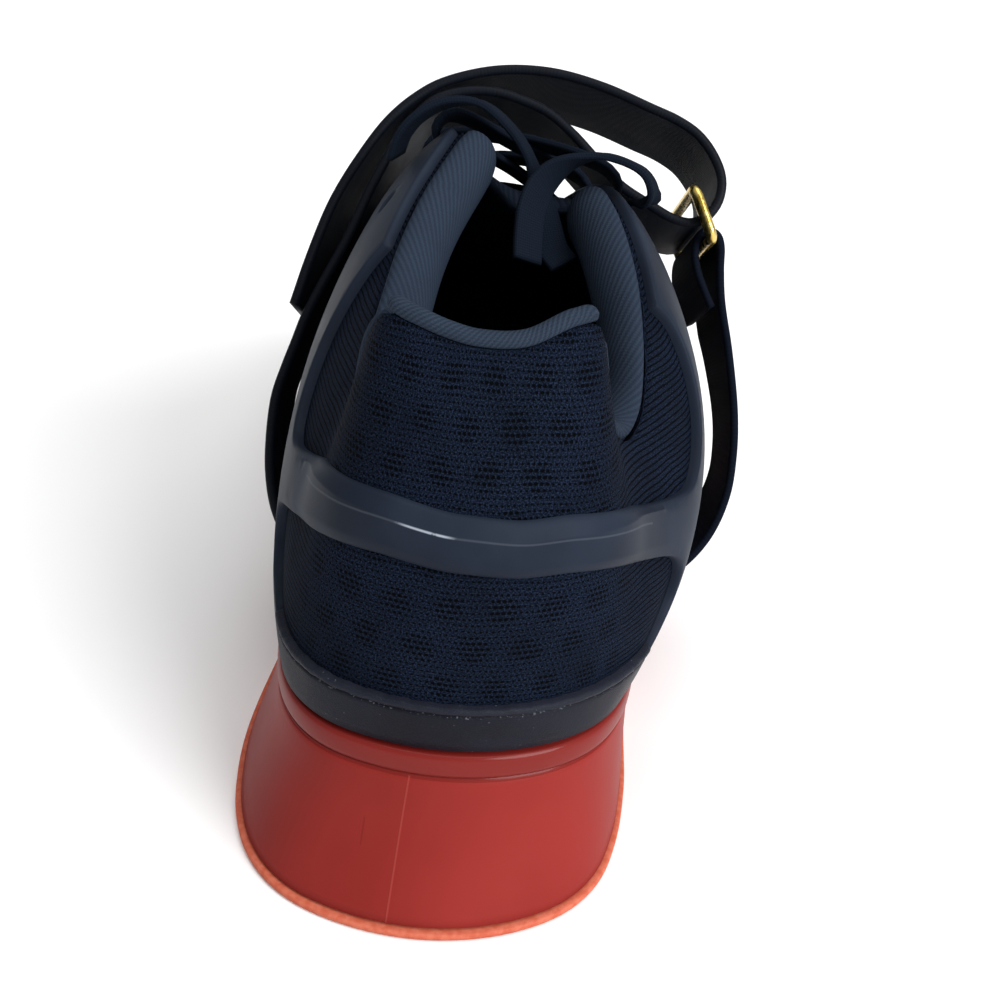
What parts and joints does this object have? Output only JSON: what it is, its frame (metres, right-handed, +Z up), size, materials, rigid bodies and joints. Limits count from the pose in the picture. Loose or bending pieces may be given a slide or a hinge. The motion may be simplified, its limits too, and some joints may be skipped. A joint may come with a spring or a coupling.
{
  "type": "weightlifting shoe",
  "caption": "Right-foot weightlifting shoe with a raised flared heel, mesh upper, heel support frame, laced throat and an instep strap looped through a metal ring.",
  "frame": {"origin": "on the floor under the middle of the heel", "axes": "+Z up, +Y along the sole towards the toe, +X towards the shoe's outer side"},
  "size_m": [0.1177, 0.2982, 0.1348],
  "materials": {
    "outsole_rubber": "matte orange-red rubber, thin line at the floor",
    "heel_unit": "satin coral red moulded plastic with a glossier rim",
    "upper_mesh": "navy mesh with hexagon clusters of holes",
    "synthetic_leather": "navy synthetic leather with a stitched edge",
    "frame_plastic": "slate navy satin film",
    "collar_knit": "twilled padded knit",
    "binding_knit": "ribbed knit binding",
    "insole_fabric": "dark brushed fabric",
    "tongue_mesh": "dark padded mesh",
    "strap_fabric": "near-black strap with hook and loop faces",
    "anchor_web": "dark navy webbing",
    "ring_brass": "brushed gold wire",
    "lace_weave": "flat navy woven lace"
  },
  "bodies": {
    "root": {"outsole": "outsole_rubber", "heel_unit": "heel_unit", "upper": "upper_mesh", "heel_rand": "synthetic_leather", "heel_frame": "frame_plastic", "toe_guard": "synthetic_leather", "collar_roll_outer": "collar_knit", "collar_roll_inner": "collar_knit", "heel_binding": "binding_knit", "insole": "insole_fabric", "tongue": "tongue_mesh", "strap": "strap_fabric", "strap_anchor": "anchor_web", "ring": "ring_brass", "lace_crossings": "lace_weave", "lace_end_outer": "lace_weave", "lace_end_inner": "lace_weave"}
  },
  "joints": []
}
